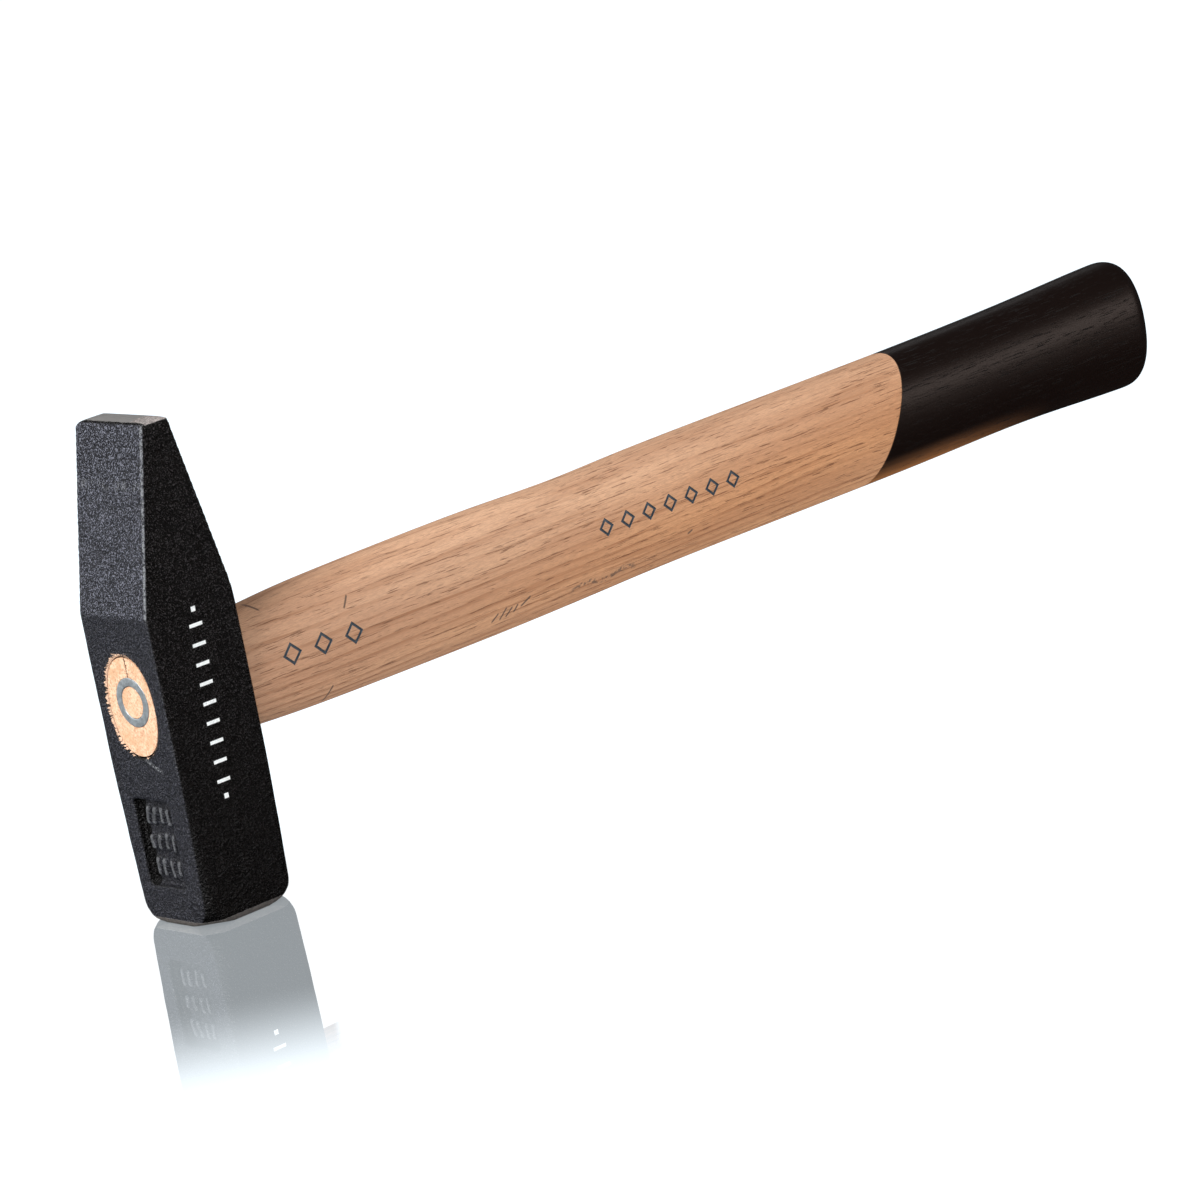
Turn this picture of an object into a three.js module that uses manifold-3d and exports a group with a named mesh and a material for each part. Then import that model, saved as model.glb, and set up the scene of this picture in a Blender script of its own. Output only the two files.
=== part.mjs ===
// Cross peen hammer of the 300 g class: a forged steel head, a hickory handle and the steel ring wedge
// that spreads the handle in the eye.
//
// Millimetres. The origin is the centre of the striking face. +Z runs up the head to the peen, +X runs
// along the handle to the end of the grip, and Y runs across the head from cheek to cheek.

import * as THREE from 'three';
import { mergeVertices } from 'three/addons/utils/BufferGeometryUtils.js';
import Module from 'manifold-3d';

const wasm = await Module();
wasm.setup();

// Gap left between two pieces that touch, and how far a cutter runs past the face that it cuts.
const GAP = 0.3;
const OVERSHOOT = 1;

// Head: a square poll below, a wedge-shaped peen above.
const HEAD_LENGTH = 105;
const HALF = 11.5;
const FACE_BEVEL = { depth: 0.6, height: 1.2 };
const POLL_FLARE = 0.25;
const FLARE_TOP = 10;
const FLARE_FOOT = 7.5;

// Each corner of the poll is rounded by three planes that run out at a height. Under them, at the
// striking face, the corner curls in: each pair is a distance from the side planes' reach and a height.
const CORNER_RADIUS = 2.8;
const CORNER_TOP = 38;
const CORNER_TURNS = [-22.5, 0, 22.5];
const CORNER_CURL = [[4, 0], [3, 0.25], [2.05, 0.65], [1.15, 1.25], [0.45, 2.2], [0, 4.3]];
const SIDE_CURL = [[2.3, 0], [1.7, 0.2], [1.1, 0.6], [0.55, 1.3], [0, 3.2]];

// Peen: two flat slopes that meet the poll in breaks, and a crest that is slightly crowned.
const EYE_SIDE_BREAK = 66.2;
const HANDLE_SIDE_BREAK = 66.6;
const BREAK_ROUND = 3;
const CREST = [[4.15, 104.2], [3.7, 104.7], [2.6, 105], [0, 105], [-1.2, 104.85], [-2.35, 104.5], [-2.85, 103.9]];
const CREST_END_CUT = { across: 5.5, down: 0.4 };

// Eye: an oval hole that is narrowest halfway through the head.
const EYE_Z = 47;
const EYE_MOUTH = { halfHeight: 10.9, halfWidth: 7.9 };
const EYE_WAIST = { halfHeight: 10.3, halfWidth: 7.3 };

// Stamp field on the eye side of the poll, with three rows of plain raised bars.
const STAMP = { y: 0.5, z: 17.6, halfWidth: 6.5, halfHeight: 9.8, depth: 1.8, draft: 0.6 };
const BAR = { width: 1.1, height: 3.6, rise: 0.7, columns: 4, pitchY: 2.4, rows: 3, pitchZ: 5.6 };

// Handle, as stations along X: the centre's height, half the height and half the thickness.
const WOOD_END = -11.1;
const SHOULDER = HALF + GAP;
const HANDLE_END = 288.5;
const END_ROUND = 6;
const STATIONS = [
  { x: SHOULDER, z: 46.7, halfHeight: 12.2, halfThickness: 8.6 },
  { x: 20, z: 46.8, halfHeight: 12.8, halfThickness: 8.8 },
  { x: 38, z: 47.1, halfHeight: 13.6, halfThickness: 9.0 },
  { x: 80, z: 47.4, halfHeight: 14.0, halfThickness: 9.0 },
  { x: 108, z: 47.4, halfHeight: 13.6, halfThickness: 8.9 },
  { x: 138, z: 48.1, halfHeight: 13.7, halfThickness: 8.9 },
  { x: 205, z: 48.3, halfHeight: 13.9, halfThickness: 9.1 },
  { x: 245, z: 48.9, halfHeight: 14.0, halfThickness: 9.2 },
  { x: 272, z: 49.0, halfHeight: 15.0, halfThickness: 9.4 },
  { x: HANDLE_END - END_ROUND, z: 49.0, halfHeight: 15.3, halfThickness: 9.5 },
];
const OVAL_POWER = 2.2;
const AROUND = 36;
const STEPS_PER_SPAN = 3;
const END_STEPS = 5;

// Ring wedge, driven into the wood from the eye side.
const RING = {
  y: -0.4,
  z: 48,
  outerEnd: -11.2,
  length: 14,
  outerRadius: 5.3,
  bore: 3.45,
  tipOuterRadius: 4.5,
  tipBore: 3.8,
};
const RING_SEGMENTS = 48;

const steel = new THREE.MeshStandardMaterial({ color: 0x15171b, roughness: 0.55, metalness: 0.6 });
const hickory = new THREE.MeshStandardMaterial({ color: 0xc79a70, roughness: 0.6, metalness: 0 });
const zinc = new THREE.MeshStandardMaterial({ color: 0x8b9297, roughness: 0.4, metalness: 0.9 });

// A manifold solid from a closed three.js geometry.
function solidOf(geometry) {
  const bare = geometry.clone();
  bare.deleteAttribute('normal');
  bare.deleteAttribute('uv');
  const merged = mergeVertices(bare, 1e-4);
  const mesh = new wasm.Mesh({
    numProp: 3,
    vertProperties: merged.attributes.position.array,
    triVerts: new Uint32Array(merged.index.array),
  });
  return new wasm.Manifold(mesh);
}

// A three.js geometry from a manifold solid.
function geometryOf(solid) {
  const mesh = solid.getMesh();
  const geometry = new THREE.BufferGeometry();
  geometry.setAttribute('position', new THREE.BufferAttribute(mesh.vertProperties, 3));
  geometry.setIndex(new THREE.BufferAttribute(mesh.triVerts, 1));
  geometry.computeVertexNormals();
  return geometry;
}

function outline(points) {
  return new THREE.Shape(points.map(([a, b]) => new THREE.Vector2(a, b)));
}

// A shape drawn in X and Z, as a plate centred on Y.
function plateAcrossY(shape, width) {
  const plate = new THREE.ExtrudeGeometry(shape, { depth: width, bevelEnabled: false, curveSegments: 8 });
  return plate.rotateX(Math.PI / 2).translate(0, width / 2, 0);
}

// A shape drawn in Y and Z, as a plate centred on X.
function plateAcrossX(shape, width) {
  const plate = new THREE.ExtrudeGeometry(shape, { depth: width, bevelEnabled: false });
  return plate.rotateX(Math.PI / 2).rotateZ(Math.PI / 2).translate(-width / 2, 0, 0);
}

// A closed skin over rings of points that all run the same way round, with flat ends.
// The rings run anticlockwise as seen from the last ring's side.
function loft(rings) {
  const around = rings[0].length;
  const corners = rings.flat();
  const faces = [];
  for (let r = 0; r + 1 < rings.length; r += 1) {
    for (let i = 0; i < around; i += 1) {
      const j = (i + 1) % around;
      const [a, b] = [r * around + i, r * around + j];
      const [c, d] = [a + around, b + around];
      faces.push(a, b, d, a, d, c);
    }
  }
  const last = (rings.length - 1) * around;
  for (let i = 1; i + 1 < around; i += 1) {
    faces.push(0, i + 1, i);
    faces.push(last, last + i, last + i + 1);
  }
  const geometry = new THREE.BufferGeometry().setFromPoints(corners);
  geometry.setIndex(faces);
  geometry.computeVertexNormals();
  return geometry;
}

// The points of an oval at x that stands on edge, slightly squarer than an ellipse.
function ovalRing(x, centreZ, halfHeight, halfThickness) {
  const ring = [];
  for (let i = 0; i < AROUND; i += 1) {
    const angle = (i / AROUND) * 2 * Math.PI;
    const [c, s] = [Math.cos(angle), Math.sin(angle)];
    const y = halfThickness * Math.sign(c) * Math.abs(c) ** (2 / OVAL_POWER);
    const z = centreZ + halfHeight * Math.sign(s) * Math.abs(s) ** (2 / OVAL_POWER);
    ring.push(new THREE.Vector3(x, y, z));
  }
  return ring;
}

// A ring turned about the X axis from a closed outline of [radius, x] points.
function turnedAboutX(points) {
  const profile = [...points, points[0]].map(([radius, x]) => new THREE.Vector2(radius, x));
  return new THREE.LatheGeometry(profile, RING_SEGMENTS).rotateZ(-Math.PI / 2);
}

// The head's outline seen from the cheek.
function sideOutline() {
  const [front, top] = CREST[0];
  const lean = new THREE.Vector2(front - HALF, top - HANDLE_SIDE_BREAK);
  lean.normalize().multiplyScalar(BREAK_ROUND);
  const shape = new THREE.Shape();
  shape.moveTo(-HALF + FACE_BEVEL.depth, 0);
  shape.lineTo(HALF + POLL_FLARE - FACE_BEVEL.depth, 0);
  shape.lineTo(HALF + POLL_FLARE, FACE_BEVEL.height);
  shape.lineTo(HALF + POLL_FLARE, FLARE_FOOT);
  shape.lineTo(HALF, FLARE_TOP);
  shape.lineTo(HALF, HANDLE_SIDE_BREAK - BREAK_ROUND);
  shape.quadraticCurveTo(HALF, HANDLE_SIDE_BREAK, HALF + lean.x, HANDLE_SIDE_BREAK + lean.y);
  for (const [x, z] of CREST) {
    shape.lineTo(x, z);
  }
  shape.lineTo(-HALF, EYE_SIDE_BREAK);
  shape.lineTo(-HALF, FACE_BEVEL.height);
  return shape;
}

// The head's outline seen from the eye side.
function frontOutline() {
  const crest = HALF - CREST_END_CUT.across;
  const crestFoot = HEAD_LENGTH - CREST_END_CUT.down;
  return outline([
    [HALF - FACE_BEVEL.depth, 0],
    [HALF, FACE_BEVEL.height],
    [HALF, crestFoot],
    [crest, HEAD_LENGTH],
    [-crest, HEAD_LENGTH],
    [-HALF, crestFoot],
    [-HALF, FACE_BEVEL.height],
    [-HALF + FACE_BEVEL.depth, 0],
  ]);
}

// How far out a plane stands that faces a corner at a turn from its middle and touches its rounding.
function cornerReach(turn, radius) {
  const angle = THREE.MathUtils.degToRad(45 + turn);
  return (HALF - radius) * (Math.cos(angle) + Math.sin(angle)) + radius;
}

// A four-sided turned body whose flats face the poll's corners at a turn from their middles.
function cornerCutter(turn) {
  const curl = turn === 0 ? CORNER_CURL : SIDE_CURL;
  const profile = [new THREE.Vector2(0, 0)];
  for (const [inset, z] of curl) {
    const reach = cornerReach(turn, CORNER_RADIUS * (1 - z / CORNER_TOP));
    profile.push(new THREE.Vector2((reach - inset) * Math.SQRT2, z));
  }
  const top = HEAD_LENGTH + OVERSHOOT;
  const over = CORNER_RADIUS * (1 - top / CORNER_TOP);
  profile.push(new THREE.Vector2(cornerReach(turn, over) * Math.SQRT2, top));
  profile.push(new THREE.Vector2(0, top));
  return new THREE.LatheGeometry(profile, 4).rotateX(Math.PI / 2).rotateZ(THREE.MathUtils.degToRad(turn));
}

// A body through the eye, from one x to another, that stands clear of the eye's wall by a margin.
function eyeBody(from, to, clear) {
  const mouth = [EYE_MOUTH.halfHeight - clear, EYE_MOUTH.halfWidth - clear];
  const waist = [EYE_WAIST.halfHeight - clear, EYE_WAIST.halfWidth - clear];
  return loft([
    ovalRing(from, EYE_Z, ...mouth),
    ovalRing(0, EYE_Z, ...waist),
    ovalRing(HALF, EYE_Z, ...mouth),
    ovalRing(to, EYE_Z, ...mouth),
  ]);
}

function stampRing(x, shrink) {
  const [w, h] = [STAMP.halfWidth - shrink, STAMP.halfHeight - shrink];
  const corners = [[w, h], [-w, h], [-w, -h], [w, -h]];
  return corners.map(([y, z]) => new THREE.Vector3(x, STAMP.y + y, STAMP.z + z));
}

function stampField() {
  return loft([
    stampRing(-HALF - OVERSHOOT, 0),
    stampRing(-HALF, 0),
    stampRing(-HALF + STAMP.depth, STAMP.draft),
  ]);
}

function stampBars() {
  const bars = [];
  const floor = -HALF + STAMP.depth;
  for (let row = 0; row < BAR.rows; row += 1) {
    for (let column = 0; column < BAR.columns; column += 1) {
      const y = STAMP.y + (column - (BAR.columns - 1) / 2) * BAR.pitchY;
      const z = STAMP.z + (row - (BAR.rows - 1) / 2) * BAR.pitchZ;
      const bar = new THREE.BoxGeometry(2 * BAR.rise, BAR.width, BAR.height);
      bars.push(bar.translate(floor, y, z));
    }
  }
  return bars;
}

function head() {
  let body = solidOf(plateAcrossY(sideOutline(), 4 * HALF));
  body = body.intersect(solidOf(plateAcrossX(frontOutline(), 4 * HALF)));
  for (const turn of CORNER_TURNS) {
    body = body.intersect(solidOf(cornerCutter(turn)));
  }
  body = body.subtract(solidOf(eyeBody(-HALF - OVERSHOOT, HALF + OVERSHOOT, 0)));
  body = body.subtract(solidOf(stampField()));
  for (const bar of stampBars()) {
    body = body.add(solidOf(bar));
  }
  return geometryOf(body);
}

// The stations joined by a smooth curve in X, height and half height, and one in half thickness.
function shaftRings() {
  const sides = STATIONS.map((s) => new THREE.Vector3(s.x, s.z, s.halfHeight));
  const edges = STATIONS.map((s) => new THREE.Vector3(s.x, s.halfThickness, 0));
  const side = new THREE.CatmullRomCurve3(sides, false, 'catmullrom', 0.5);
  const edge = new THREE.CatmullRomCurve3(edges, false, 'catmullrom', 0.5);
  const steps = (STATIONS.length - 1) * STEPS_PER_SPAN;
  const rings = [];
  for (let i = 0; i <= steps; i += 1) {
    const { x, y: z, z: halfHeight } = side.getPoint(i / steps);
    const halfThickness = edge.getPoint(i / steps).y;
    rings.push(ovalRing(x, z, halfHeight, halfThickness));
  }
  return rings;
}

// The grip end, rounded over in a quarter of an ellipse.
function endRings() {
  const grip = STATIONS.at(-1);
  const rings = [];
  for (let i = 1; i <= END_STEPS; i += 1) {
    const turn = (i / END_STEPS) * (Math.PI / 2);
    const inset = END_ROUND * (1 - Math.cos(turn));
    const x = grip.x + END_ROUND * Math.sin(turn);
    rings.push(ovalRing(x, grip.z, grip.halfHeight - inset, grip.halfThickness - inset));
  }
  return rings;
}

// The ring wedge, or with a margin the slot that it sits in, which is open at the end of the wood.
function ringBody(margin) {
  const tip = RING.outerEnd + RING.length + margin;
  const end = margin > 0 ? RING.outerEnd - OVERSHOOT : RING.outerEnd;
  const body = turnedAboutX([
    [RING.outerRadius + margin, end],
    [RING.tipOuterRadius + margin, tip],
    [RING.tipBore - margin, tip],
    [RING.bore - margin, end],
  ]);
  return body.translate(0, RING.y, RING.z);
}

function handle() {
  const shaft = solidOf(loft([...shaftRings(), ...endRings()]));
  const tenon = solidOf(eyeBody(WOOD_END, SHOULDER + OVERSHOOT, GAP));
  return geometryOf(shaft.add(tenon).subtract(solidOf(ringBody(GAP))));
}

const hammer = new THREE.Group();
const pieces = [
  ['hammer_head', head(), steel],
  ['handle', handle(), hickory],
  ['ring_wedge', ringBody(0), zinc],
];
for (const [name, geometry, material] of pieces) {
  const mesh = new THREE.Mesh(geometry, material);
  mesh.name = name;
  hammer.add(mesh);
}

export default hammer;
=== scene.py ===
import math
import random
from contextlib import contextmanager

import bmesh
import bpy
import numpy as np
from bpy.props import FloatProperty, FloatVectorProperty, IntProperty, PointerProperty
from mathutils import Matrix, Vector


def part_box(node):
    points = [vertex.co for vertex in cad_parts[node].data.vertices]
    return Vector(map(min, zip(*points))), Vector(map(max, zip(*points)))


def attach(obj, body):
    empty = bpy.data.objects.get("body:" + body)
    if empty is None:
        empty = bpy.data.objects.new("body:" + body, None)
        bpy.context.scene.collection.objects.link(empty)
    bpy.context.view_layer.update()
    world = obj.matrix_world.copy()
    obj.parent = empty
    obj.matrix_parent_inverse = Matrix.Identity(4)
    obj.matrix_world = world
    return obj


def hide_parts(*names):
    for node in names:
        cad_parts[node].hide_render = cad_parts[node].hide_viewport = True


bl_info = {
    "name": "Cross Peen Hammer",
    "version": (1, 0, 0),
    "blender": (4, 5, 0),
    "location": "View3D > Sidebar > Hammer",
    "description": "Models a cross peen hammer piece by piece and stands it in a pale studio",
    "category": "Add Mesh",
}

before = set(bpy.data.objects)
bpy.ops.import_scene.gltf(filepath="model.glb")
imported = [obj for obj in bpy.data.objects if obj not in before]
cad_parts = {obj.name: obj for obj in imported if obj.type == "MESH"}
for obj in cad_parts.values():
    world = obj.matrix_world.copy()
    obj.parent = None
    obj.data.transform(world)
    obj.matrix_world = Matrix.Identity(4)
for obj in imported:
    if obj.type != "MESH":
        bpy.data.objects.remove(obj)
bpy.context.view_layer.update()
HEAD_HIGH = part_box("hammer_head")[1]
RING_LOW, RING_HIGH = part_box("ring_wedge")
BODY = "root"

MM = 0.001
# Points nearer to a cutting plane than this lie on it.
TOUCH = 1e-6
# The power of the oval of the eye and of the handle's tenon: 2 is an ellipse.
OVAL_POWER = 2.2
# Least half height of a section of the handle's outside. The ring's slot in it is smaller.
LEAST_SECTION = 8 * MM


# ---------------------------------------------------------------- settings


def length(name, description, default_mm):
    """A length property, in metres, whose default is given in millimetres."""
    return FloatProperty(
        name=name,
        description=description,
        default=default_mm * MM,
        subtype="DISTANCE",
        unit="LENGTH",
        precision=5,
    )


def colour(name, description, default):
    """A linear RGB colour property."""
    return FloatVectorProperty(
        name=name,
        description=description,
        default=default,
        subtype="COLOR",
        size=3,
        min=0.0,
        max=1.0,
    )


class HeadSettings(bpy.types.PropertyGroup):
    """Sizes and colours of the forged head."""

    skin: length("Skin", "Room left under the head's outline for the uneven forged skin", 0.07)
    bevel_height: length("Bevel height", "Height of the bevel ground round the striking face", 1.2)
    bevel_depth: length("Bevel depth", "How far in that bevel reaches at the striking face", 0.5)
    flare_top: length("Flare top", "Height where the poll starts to swell on the handle side", 10.0)
    flare_foot: length("Flare foot", "Height below which the swelling is full", 7.5)
    corner_radius: length("Corner radius", "Rounding of the poll's corners at the striking face", 2.7)
    corner_top: length("Corner top", "Height where the rounding of the corners runs out", 38.0)
    eye_side_break: length("Eye side break", "Height where the peen starts on the eye side", 66.2)
    handle_side_break: length(
        "Handle side break", "Height where the peen starts on the handle side", 66.6
    )
    break_round: length("Break round", "How far the handle side's break is rounded", 3.0)
    crest_back: length("Crest back", "Where the eye side's slope reaches the crest's height", -2.6)
    crest_front: length("Crest front", "Where the handle side's slope reaches that height", 4.0)
    crest_end_across: length("Crest end across", "Width ground off each end of the crest", 5.5)
    crest_end_down: length("Crest end down", "Height ground off each end of the crest", 0.35)
    near_end_round: length("Near end round", "Rounding of the crest's end in view", 0.8)
    far_end_round: length("Far end round", "Rounding of the crest's other end", 1.8)
    eye_height: length("Eye height", "Height of the eye's centre above the striking face", 47.0)
    eye_half_height: length("Eye half height", "Half the height of the eye's mouth", 10.78)
    eye_half_width: length("Eye half width", "Half the width of the eye's mouth", 7.78)
    eye_pinch: length("Eye pinch", "How much narrower the eye is at its waist, all round", 0.6)
    edge_round: length("Edge round", "Width of the rounding on the forged edges", 0.35)
    voxel: length("Skin grain", "Size of the facets that the forged skin is made of", 0.36)
    paint: colour("Lacquer", "Textured lacquer of the head", (0.0012, 0.0010, 0.0010))
    steel: colour("Bare steel", "Ground steel at the crest and the face bevel", (0.33, 0.318, 0.31))
    print_white: colour("Print", "White printed bars on the cheek", (0.95, 0.95, 0.93))


class HandleSettings(bpy.types.PropertyGroup):
    """Sizes and colours of the wooden handle."""

    around: IntProperty(
        name="Around", description="Points round one section of the handle", default=48, min=12
    )
    squareness: FloatProperty(
        name="Squareness",
        description="Power of the oval section: 2 is an ellipse",
        default=OVAL_POWER,
    )
    dip_start: length("Dip start", "Where the grip's lacquer starts, at the handle's middle", 203.0)
    mark_depth: length("Mark depth", "Depth of the pressed lozenges", 0.4)
    early: colour("Early wood", "Light wood between the growth lines", (0.67, 0.405, 0.255))
    late: colour("Late wood", "Growth lines", (0.36, 0.165, 0.08))
    pore: colour("Pores", "Short dark pores", (0.17, 0.075, 0.038))
    lacquer: colour("Grip lacquer", "Black dip on the grip", (0.0048, 0.0015, 0.0008))
    mark: colour("Mark fill", "Slate colour in the pressed lozenges", (0.070, 0.088, 0.105))


class RingSettings(bpy.types.PropertyGroup):
    """Sizes and colour of the ring wedge."""

    bore: length("Bore", "Bore radius at the outer end", 3.45)
    tip_bore: length("Tip bore", "Bore radius at the buried tip", 3.8)
    tip_radius: length("Tip radius", "Outer radius at the buried tip", 4.5)
    lip: length("Lip", "Rounding of the outer end's edges", 0.22)
    zinc: colour("Zinc", "Zinc plating", (0.36, 0.395, 0.415))


class StudioSettings(bpy.types.PropertyGroup):
    """Camera and light of the studio."""

    lens: FloatProperty(
        name="Lens", description="Focal length in mm on a 36 mm sensor", default=164.9
    )
    azimuth: FloatProperty(
        name="Azimuth",
        description="Which way the camera looks, from +Y towards +X",
        default=math.radians(39.09),
        subtype="ANGLE",
        unit="ROTATION",
    )
    pitch: FloatProperty(
        name="Pitch",
        description="How far the camera looks down",
        default=math.radians(13.3),
        subtype="ANGLE",
        unit="ROTATION",
    )
    roll: FloatProperty(
        name="Roll",
        description="How far the camera leans to its side",
        default=math.radians(-10.88),
        subtype="ANGLE",
        unit="ROTATION",
    )
    camera_place: FloatVectorProperty(
        name="Camera place",
        description="Where the camera stands",
        default=(-0.621, -0.9054, 0.3076),
        subtype="TRANSLATION",
        unit="LENGTH",
    )
    ambient: FloatProperty(name="Ambient", description="Light from the sky above", default=0.05)


# ---------------------------------------------------------------- modelling


def deselect_all():
    bpy.ops.object.select_all(action="DESELECT")


def make_active(piece):
    deselect_all()
    piece.select_set(True)
    bpy.context.view_layer.objects.active = piece


def named(name):
    """Names the newest object and moves its place, turn and size into its mesh."""
    piece = bpy.context.object
    piece.name = name
    piece.data.name = name
    bpy.ops.object.transform_apply(location=True, rotation=True, scale=True)
    return piece


@contextmanager
def edit_mode(piece):
    """Edit mode on one piece, picking vertices, with nothing selected at the start."""
    make_active(piece)
    bpy.ops.object.mode_set(mode="EDIT")
    bpy.ops.mesh.select_mode(type="VERT")
    bpy.ops.mesh.select_all(action="DESELECT")
    try:
        yield
    finally:
        bpy.ops.object.mode_set(mode="OBJECT")


def pick(kind, test):
    """Selects the vertices, edges or faces that pass a test, and nothing else, in edit mode."""
    bpy.ops.mesh.select_mode(type=kind)
    bpy.ops.mesh.select_all(action="DESELECT")
    mesh = bpy.context.edit_object.data
    shape = bmesh.from_edit_mesh(mesh)
    parts = {"VERT": shape.verts, "EDGE": shape.edges, "FACE": shape.faces}[kind]
    chosen = 0
    for part in parts:
        if test(part):
            part.select_set(True)
            chosen += 1
    bmesh.update_edit_mesh(mesh)
    if not chosen:
        raise RuntimeError("nothing to work on where the shape should be")


def add_box(name, low, high):
    """A box between two corners."""
    low, high = Vector(low), Vector(high)
    bpy.ops.mesh.primitive_cube_add(size=1, location=(low + high) / 2, scale=high - low)
    return named(name)


def apply_modifier(piece, kind, **settings):
    """Adds a modifier with its settings and applies it."""
    make_active(piece)
    modifier = piece.modifiers.new(kind.title(), kind)
    for key, value in settings.items():
        setattr(modifier, key, value)
    bpy.ops.object.modifier_apply(modifier=modifier.name)


def cut_or_join(piece, tool, operation):
    """Cuts a piece with a tool, or joins the tool to it, and removes the tool."""
    apply_modifier(
        piece, "BOOLEAN", operation=operation, solver="EXACT", object=tool, material_mode="TRANSFER"
    )
    bpy.data.objects.remove(tool)


def grind(point, normal):
    """Takes off what lies past a plane and closes the cut, on the mesh in edit mode."""
    bpy.ops.mesh.select_mode(type="VERT")
    bpy.ops.mesh.select_all(action="SELECT")
    bpy.ops.mesh.bisect(
        plane_co=point,
        plane_no=Vector(normal).normalized(),
        clear_outer=True,
        use_fill=True,
        threshold=TOUCH,
    )


def score(height):
    """Adds a loop of edges at a height without taking anything off."""
    bpy.ops.mesh.select_all(action="SELECT")
    bpy.ops.mesh.bisect(plane_co=(0, 0, height), plane_no=(0, 0, 1), threshold=TOUCH)


def add_oval(name, x, middle, half_height, half_thickness, around, power):
    """A filled oval that stands on edge across the X axis."""
    bpy.ops.mesh.primitive_circle_add(
        vertices=around,
        radius=1,
        fill_type="NGON",
        location=(x, 0, 0),
        rotation=(math.pi / 2, 0, math.pi / 2),
    )
    oval = named(name)
    for vertex in oval.data.vertices:
        y, z = (math.copysign(abs(c) ** (2 / power), c) for c in vertex.co.yz)
        vertex.co = Vector((x, y * half_thickness, middle + z * half_height))
    return oval


def extrude_oval(old, new):
    """Carries the selected end oval on to the next section, as (x, middle, height, thickness)."""
    step = (new[0] - old[0], 0, new[1] - old[1])
    bpy.ops.mesh.extrude_region_move(TRANSFORM_OT_translate={"value": step})
    bpy.ops.transform.resize(
        value=(1, new[3] / old[3], new[2] / old[2]), center_override=(new[0], 0, new[1])
    )


def loft_ovals(name, sections, around, power):
    """A closed body through oval sections along X."""
    body = add_oval(name, *sections[0], around, power)
    with edit_mode(body):
        bpy.ops.mesh.select_all(action="SELECT")
        for old, new in zip(sections, sections[1:]):
            extrude_oval(old, new)
        bpy.ops.mesh.select_all(action="SELECT")
        bpy.ops.mesh.normals_make_consistent(inside=False)
    return body


def cad_sections(node, least_half_height):
    """(x, middle, half height, half thickness) of each ring of points in a CAD node, along X."""
    rings = {}
    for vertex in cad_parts[node].data.vertices:
        rings.setdefault(round(vertex.co.x / MM, 2), []).append(vertex.co.copy())
    sections = []
    for x in sorted(rings):
        heights = [point.z for point in rings[x]]
        thickness = max(abs(point.y) for point in rings[x])
        half = (max(heights) - min(heights)) / 2
        if half > least_half_height:
            sections.append((x * MM, min(heights) + half, half, thickness))
    return sections


def mark_edges(piece, attribute, strength):
    """Stores how far each vertex stands out of its surroundings, from 0 on a flat to 1 on an edge."""
    mesh = piece.data
    place = np.empty((len(mesh.vertices), 3), np.float32)
    mesh.vertices.foreach_get("co", place.ravel())
    normal = np.empty_like(place)
    mesh.vertices.foreach_get("normal", normal.ravel())
    ends = np.empty((len(mesh.edges), 2), np.int32)
    mesh.edges.foreach_get("vertices", ends.ravel())
    rise = np.zeros(len(place))
    count = np.zeros(len(place))
    for a, b in (ends.T, ends.T[::-1]):
        way = place[a] - place[b]
        run = np.maximum(np.linalg.norm(way, axis=1), 1e-9)
        np.add.at(rise, b, -(way * normal[b]).sum(1) / run)
        np.add.at(count, b, 1)
    bend = rise / np.maximum(count, 1)
    for _ in range(2):
        total = np.zeros(len(place))
        for a, b in (ends.T, ends.T[::-1]):
            np.add.at(total, b, bend[a])
        bend = (bend + total / np.maximum(count, 1)) / 2
    layer = mesh.attributes.new(attribute, "FLOAT", "POINT")
    layer.data.foreach_set("value", np.clip(bend * strength, 0, 1).astype(np.float32))


def finish_piece(piece, slot, *nodes):
    """Hands a finished piece to the frame in place of its CAD nodes."""
    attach(piece, BODY)
    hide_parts(*nodes)


# ---------------------------------------------------------------- materials


class Wire:
    """The output of a material's node. Arithmetic on wires adds Math nodes."""

    def __init__(self, finish, socket):
        self.finish = finish
        self.socket = socket

    def __add__(self, other):
        return self.finish.math("ADD", self, other)

    def __radd__(self, other):
        return self.finish.math("ADD", other, self)

    def __sub__(self, other):
        return self.finish.math("SUBTRACT", self, other)

    def __rsub__(self, other):
        return self.finish.math("SUBTRACT", other, self)

    def __mul__(self, other):
        return self.finish.math("MULTIPLY", self, other)

    def __rmul__(self, other):
        return self.finish.math("MULTIPLY", other, self)

    def __truediv__(self, other):
        return self.finish.math("DIVIDE", self, other)

    def __abs__(self):
        return self.finish.math("ABSOLUTE", self)

    def __pow__(self, other):
        return self.finish.math("POWER", self, other)


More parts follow.
